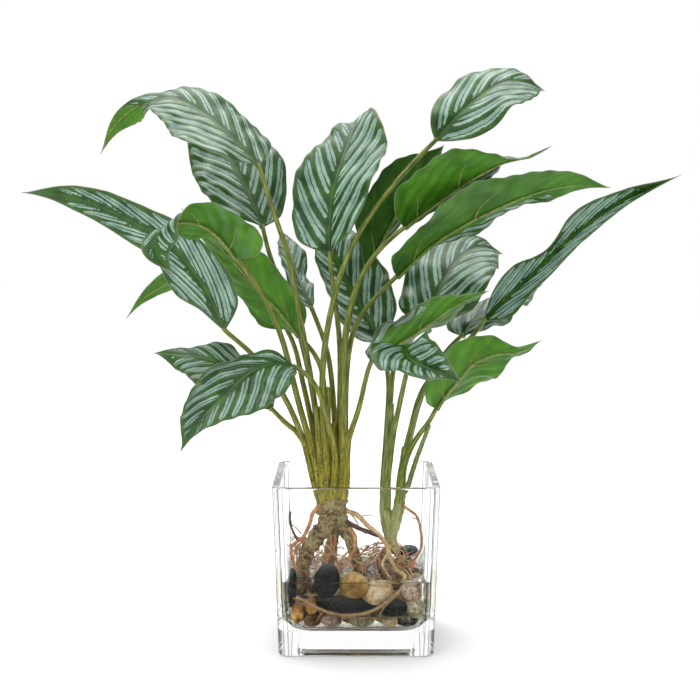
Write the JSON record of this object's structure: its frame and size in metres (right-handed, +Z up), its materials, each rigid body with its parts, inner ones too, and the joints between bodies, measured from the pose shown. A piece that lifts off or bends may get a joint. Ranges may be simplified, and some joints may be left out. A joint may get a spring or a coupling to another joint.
{
  "type": "striped foliage plant in glass vase",
  "caption": "Striped broad-leaf houseplant standing in a clear square glass vase of water, its bare roots spread over river stones.",
  "frame": {"origin": "middle of the vase's foot, on the surface that it stands on", "axes": "+X to the right of the front and along the widest spread of leaves, +Y to the back, +Z up"},
  "size_m": [0.5104, 0.2494, 0.4388],
  "materials": {
    "glass": "polished",
    "water": "gloss",
    "stem": "satin",
    "leaf": "satin",
    "stone_black": "satin",
    "stone_blue": "satin",
    "stone_tan": "satin",
    "stone_amber": "satin",
    "stone_cream": "satin",
    "stone_pink": "satin",
    "stone_grey": "satin",
    "stone_speckled": "satin",
    "stone_brown": "satin"
  },
  "bodies": {
    "root": {"vase": "glass", "stone_tall_black": "stone_black", "stone_black_drop": "stone_black", "stone_tan": "stone_tan", "stone_flat_black": "stone_black", "stone_cream": "stone_cream", "stone_black_right": "stone_black", "stone_pinkish": "stone_pink", "stone_beige_grey": "stone_grey", "stone_speckled": "stone_speckled", "stone_small_cream": "stone_cream", "stone_grey_tan": "stone_grey", "stone_brown_grey": "stone_pink", "stone_amber": "stone_amber", "stone_orange": "stone_amber", "stone_dark_brown": "stone_brown", "stone_blue_black": "stone_blue", "stone_right_a": "stone_grey", "stone_right_b": "stone_black", "stone_right_c": "stone_brown", "stone_right_d": "stone_cream", "stone_right_e": "stone_brown", "stone_right_f": "stone_grey", "stone_left_a": "stone_brown", "stone_left_b": "stone_black", "stone_left_c": "stone_cream", "stone_left_d": "stone_brown", "stone_left_e": "stone_black", "stone_back_a": "stone_brown", "stone_back_b": "stone_cream", "stone_back_c": "stone_black", "stone_back_d": "stone_cream", "stone_back_e": "stone_grey", "clump_main": "stem", "clump_side": "stem", "water": "water", "leaf_upper_left_arch": "leaf", "leaf_upper_left_back": "leaf", "leaf_long_left": "leaf", "leaf_front_left_curl": "leaf", "leaf_left_underside": "leaf", "leaf_low_left_back": "leaf", "leaf_low_left_lance": "leaf", "leaf_front_low_left": "leaf", "leaf_centre_tall": "leaf", "leaf_narrow_middle": "leaf", "leaf_back_middle": "leaf", "leaf_top_right": "leaf", "leaf_dark_right_back": "leaf", "leaf_upper_right": "leaf", "leaf_right_wavy": "leaf", "leaf_middle_right": "leaf", "leaf_middle_rolled": "leaf", "leaf_front_right": "leaf", "leaf_back_right": "leaf", "leaf_long_right": "leaf", "leaf_low_right_underside": "leaf"}
  },
  "joints": []
}
